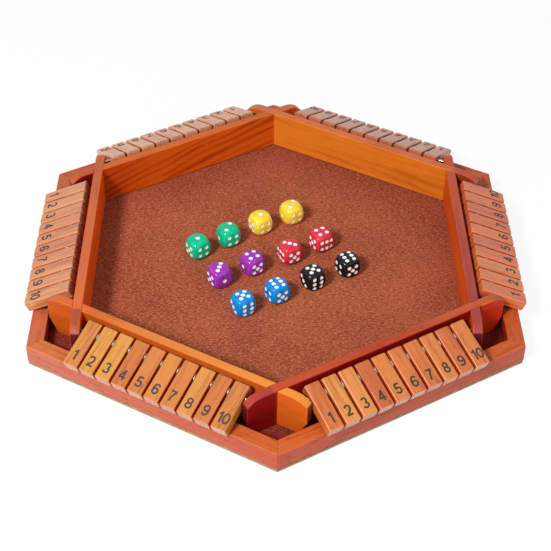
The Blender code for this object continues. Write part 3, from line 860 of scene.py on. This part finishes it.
def figure_strokes(figure):
    """The middle lines of a figure's strokes, in shares of its height."""
    if figure == 9:
        return [-stroke + (0, 1) for stroke in figure_strokes(6)]
    return {
        0: [arc(0, 0.5, 0.24, 0.43, 90, 450, 36)],
        1: [np.array([(0.07, 0.0), (0.07, 1.0)]), np.array([(0.07, 0.93), (-0.02, 0.82), (-0.17, 0.73)])],
        2: [np.concatenate([arc(0.0, 0.68, 0.23, 0.25, 168, -30), [(0.07, 0.36), (-0.22, 0.10)]]),
            np.array([(-0.29, 0.07), (0.28, 0.07)])],
        3: [arc(-0.01, 0.72, 0.20, 0.21, 160, -80), arc(-0.01, 0.29, 0.24, 0.22, 85, -165)],
        4: [np.array([(0.11, 0.0), (0.11, 1.0)]), np.array([(-0.31, 0.28), (0.30, 0.28)]),
            np.array([(0.09, 0.94), (-0.27, 0.29)])],
        5: [np.array([(-0.19, 0.93), (0.24, 0.93)]), np.array([(-0.15, 0.98), (-0.21, 0.45)]),
            arc(-0.01, 0.32, 0.24, 0.25, 145, -165)],
        6: [arc(0.01, 0.31, 0.24, 0.24, 90, 450, 30), arc(0.04, 0.46, 0.28, 0.47, 38, 190)],
        7: [np.array([(-0.26, 0.93), (0.27, 0.93)]), arc(0.55, -0.05, 0.65, 1.05, 118, 178)],
        8: [arc(0, 0.72, 0.20, 0.21, 90, 450, 30), arc(0, 0.29, 0.24, 0.22, 90, 450, 30)],
    }[figure]


def stroke_rings(line, height):
    """A stroke as a flat band: each point of its middle line is set off to both sides."""
    way = np.gradient(line, axis=0)
    way /= np.linalg.norm(way, axis=1)[:, None]
    aside = np.column_stack([-way[:, 1], way[:, 0]]) * STROKE_WIDTH / 2
    rings = np.empty((len(line), 4, 3))
    rings[:, :, :2] = np.stack([line + aside, line - aside, line - aside, line + aside], 1)
    rings[:, :, 2] = [height, height, -height, -height]
    return rings


def number_mesh(number):
    """A printed number, flat on the XY plane, upright along +Y."""
    digits = [int(digit) for digit in str(number)]
    bm = bmesh.new()
    for place, digit in enumerate(digits):
        shift = (place - (len(digits) - 1) / 2) * FIGURE_SPREAD
        for level, stroke in enumerate(figure_strokes(digit)):
            line = (stroke - (0, 0.5)) * FIGURE_HEIGHT + (shift, 0)
            bm.from_mesh(ringed("stroke", stroke_rings(line, INK_THICKNESS + level * INK_STEP)))
    mesh = bpy.data.meshes.new("number")
    bm.to_mesh(mesh)
    bm.free()
    return mesh


ink, ink_shader, root = blank_material("brown_ink")
place = root.node("TexCoord", output="Object")
wear = root.noise(place, 2200, 3, 0.7)
root.dress(ink_shader, {"Base Color": wear.band(0.52, 0.75).mixed(INK_BROWN, INK_WORN), "Roughness": 0.6})
printed = (Matrix.Translation((FIGURE_PLACE, 0, TILE_THICKNESS / 2))
           @ Matrix.Rotation(math.radians(90), 4, "Z"))
for side in SIDE_ANGLES:
    for number in range(1, TILES_PER_ROW + 1):
        mesh = turned(number_mesh(number), tile_seat(side, number) @ printed)
        piece(f"number_{side}_{number:02d}", mesh, tile_body(side, number), [ink])


# The dice. Two of each colour, moulded in glossy resin with well rounded corners, and with
# shallow round pips filled with white paint.
DIE_HALF = 0.008
DIE_BALL_RADIUS = 0.01025
DIE_BLEND = 14
DIE_GRID = 33
PIP_RADIUS = 0.0017
PIP_DEPTH = 0.00035
PIP_RISE = 0.0003
PIP_RINGS = 6
PIP_SIDES = 28
PIP_SPREAD = 0.00305
PIP_LONG_SPREAD = 0.00425
# Top number, left front number, and the angle that the right front face looks along
DICE_LIE = {
    "green_1": (1, 5, -56), "green_2": (2, 1, -62), "yellow_1": (1, 5, -60), "yellow_2": (2, 1, -61),
    "purple_1": (3, 5, -59), "purple_2": (4, 1, -59), "red_1": (3, 6, -63), "red_2": (4, 5, -59),
    "blue_1": (5, 3, -60), "blue_2": (6, 4, -60), "black_1": (5, 3, -61), "black_2": (6, 4, -63),
}
RESIN = {
    "green": (0.000, 0.430, 0.220, 1), "yellow": (0.990, 0.545, 0.034, 1), "purple": (0.280, 0.028, 0.360, 1),
    "red": (0.570, 0.028, 0.048, 1), "blue": (0.000, 0.205, 0.560, 1), "black": (0.008, 0.007, 0.008, 1),
}
# The share of light that passes into the resin, and how deep it goes
CLOUDINESS = {"yellow": 1.0, "black": 0.0}
USUAL_CLOUDINESS = 0.18
LIGHT_DEPTHS = {"yellow": 0.016}
USUAL_DEPTH = 0.004
DIE_CREASE = 17              # a pip's rim is sharper than this, in degrees
PIP_WHITE = (0.92, 0.92, 0.91, 1)
PIP_WORN = (0.80, 0.80, 0.80, 1)
DIE_FACES = {
    1: ((0, 0, 1), (0, 1, 0), (1, 0, 0)), 2: ((1, 0, 0), (0, 1, 0), (0, 0, 1)),
    3: ((0, 1, 0), (1, 0, 0), (0, 0, 1)), 4: ((0, -1, 0), (1, 0, 0), (0, 0, 1)),
    5: ((-1, 0, 0), (0, 1, 0), (0, 0, 1)), 6: ((0, 0, -1), (0, 1, 0), (1, 0, 0)),
}


def pip_places(number):
    """The centres of a number's pips, across and along its face."""
    near, far = PIP_SPREAD, PIP_LONG_SPREAD
    pair = [(near, -near), (-near, near)]
    square = pair + [(near, near), (-near, -near)]
    triple = [(side, step) for side in (near, -near) for step in (far, 0, -far)]
    return {1: [(0, 0)], 2: pair, 3: pair + [(0, 0)], 4: square,
            5: square + [(0, 0)], 6: triple}[number]


def die_reach(rays):
    """How far the die's surface lies from its centre along unit rays: the smooth minimum of the distance
    to the cube's faces and the radius of a ball."""
    faces = ((np.abs(rays) / DIE_HALF) ** DIE_BLEND).sum(-1)
    reach = (faces + DIE_BALL_RADIUS ** -DIE_BLEND) ** (-1 / DIE_BLEND)
    return reach * (1 + (DIE_HALF / DIE_BALL_RADIUS) ** DIE_BLEND) ** (1 / DIE_BLEND)


def die_blank():
    """A cube rounded by a ball. Its points lie along rays through a grid on each face of the cube."""
    share = np.tan(np.linspace(-math.pi / 4, math.pi / 4, DIE_GRID))
    u, v = np.meshgrid(share, share, indexing="ij")
    column, row = np.meshgrid(np.arange(DIE_GRID - 1), np.arange(DIE_GRID - 1), indexing="ij")
    first = (column * DIE_GRID + row).ravel()
    quads = np.column_stack([first, first + 1, first + DIE_GRID + 1, first + DIE_GRID])
    vertices, faces = [], []
    for number, (out, across, along) in enumerate(DIE_FACES.values()):
        rays = np.array(out) + u[..., None] * np.array(across) + v[..., None] * np.array(along)
        rays /= np.linalg.norm(rays, axis=-1, keepdims=True)
        vertices += (rays * die_reach(rays)[..., None]).reshape(-1, 3).tolist()
        faces += (quads + number * DIE_GRID ** 2).tolist()
    return closed_mesh("die", vertices, faces, 180)


def pip_cutters():
    """Twenty-one shallow bowls, each a slice of a large ball. Each lies mouth outwards on the die's surface,
    square to it: the surface's normal is the slope of the sum in `die_reach`."""
    ball = (PIP_RADIUS ** 2 + PIP_DEPTH ** 2) / (2 * PIP_DEPTH)
    widest = math.sqrt(2 * ball * (PIP_DEPTH + PIP_RISE) - (PIP_DEPTH + PIP_RISE) ** 2)
    radii = np.linspace(widest * 0.04, widest, PIP_RINGS)
    turn = 2 * math.pi * np.arange(PIP_SIDES) / PIP_SIDES
    lift = ball - np.sqrt(ball ** 2 - radii ** 2) - PIP_DEPTH
    bm = bmesh.new()
    for number, (out, across, along) in DIE_FACES.items():
        out, across, along = np.array(out), np.array(across), np.array(along)
        for x, y in pip_places(number):
            ray = DIE_HALF * out + x * across + y * along
            ray /= np.linalg.norm(ray)
            spot = ray * die_reach(ray)
            normal = (np.sign(spot) * (np.abs(spot) / DIE_HALF) ** (DIE_BLEND - 1) / DIE_HALF
                      + (np.linalg.norm(spot) / DIE_BALL_RADIUS) ** (DIE_BLEND - 1) * ray / DIE_BALL_RADIUS)
            normal /= np.linalg.norm(normal)
            first = np.cross(along, normal)
            first /= np.linalg.norm(first)
            second = np.cross(normal, first)
            circle = np.cos(turn)[:, None] * first + np.sin(turn)[:, None] * second
            rings = spot + radii[:, None, None] * circle + lift[:, None, None] * normal
            bm.from_mesh(ringed("pip", rings))
    mesh = bpy.data.meshes.new("pips")
    bm.to_mesh(mesh)
    bm.free()
    return mesh


def die_turn(top, left, degrees):
    """Turns a die: `top` up, and `left` to the left of the face that looks along the angle."""
    up, left_out = Vector(DIE_FACES[top][0]), Vector(DIE_FACES[left][0])
    angle = math.radians(degrees)
    target = Matrix(((math.cos(angle), math.sin(angle), 0), (math.sin(angle), -math.cos(angle), 0),
                     (0, 0, 1))).transposed()
    return (target @ Matrix((up.cross(left_out), left_out, up))).to_4x4()


def resin(colour, value):
    """Glossy cast resin with a slight cloudiness."""
    material, shader, root = blank_material(f"{colour}_resin")
    place = root.node("TexCoord", output="Object")
    cloud = root.noise(place, 260, 3)
    pale = tuple(min(1.0, part * 1.25 + 0.002) for part in value[:3]) + (1,)
    root.dress(shader, {
        "Base Color": cloud.band(0.35, 0.75).mixed(value, pale),
        "Roughness": root.noise(place, 700, 2) * 0.12 + 0.10,
        "Subsurface Weight": CLOUDINESS.get(colour, USUAL_CLOUDINESS),
        "Subsurface Radius": (1.0, 1.0, 1.0),
        "Subsurface Scale": LIGHT_DEPTHS.get(colour, USUAL_DEPTH),
        "Specular IOR Level": 0.12, "Coat Weight": 0.14, "Coat Roughness": 0.05})
    return material


pip_white, pip_shader, root = blank_material("white_pip_paint")
place = root.node("TexCoord", output="Object")
root.dress(pip_shader, {"Base Color": root.noise(place, 1500, 2).band(0.3, 0.7).mixed(PIP_WORN, PIP_WHITE),
                        "Roughness": 0.35})
pips = pip_cutters()
blank_die = die_blank()
for mesh in (blank_die, pips):
    mesh.materials.append(pip_white)
    mesh.materials.append(pip_white)
pips.polygons.foreach_set("material_index", np.ones(len(pips.polygons), np.int32))
die_master = carved(blank_die, [pips], DIE_CREASE)
resins = {colour: resin(colour, value) for colour, value in RESIN.items()}
for name, (top, left, degrees) in DICE_LIE.items():
    low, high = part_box(f"die_{name}")
    mesh = turned(die_master.copy(), Matrix.Translation((low + high) / 2) @ die_turn(top, left, degrees))
    colour = name.split("_")[0]
    paints = [resins[colour], pip_white]
    piece(f"resin_die_{name}", mesh, f"die_{name}", paints, [f"die_{name}"])
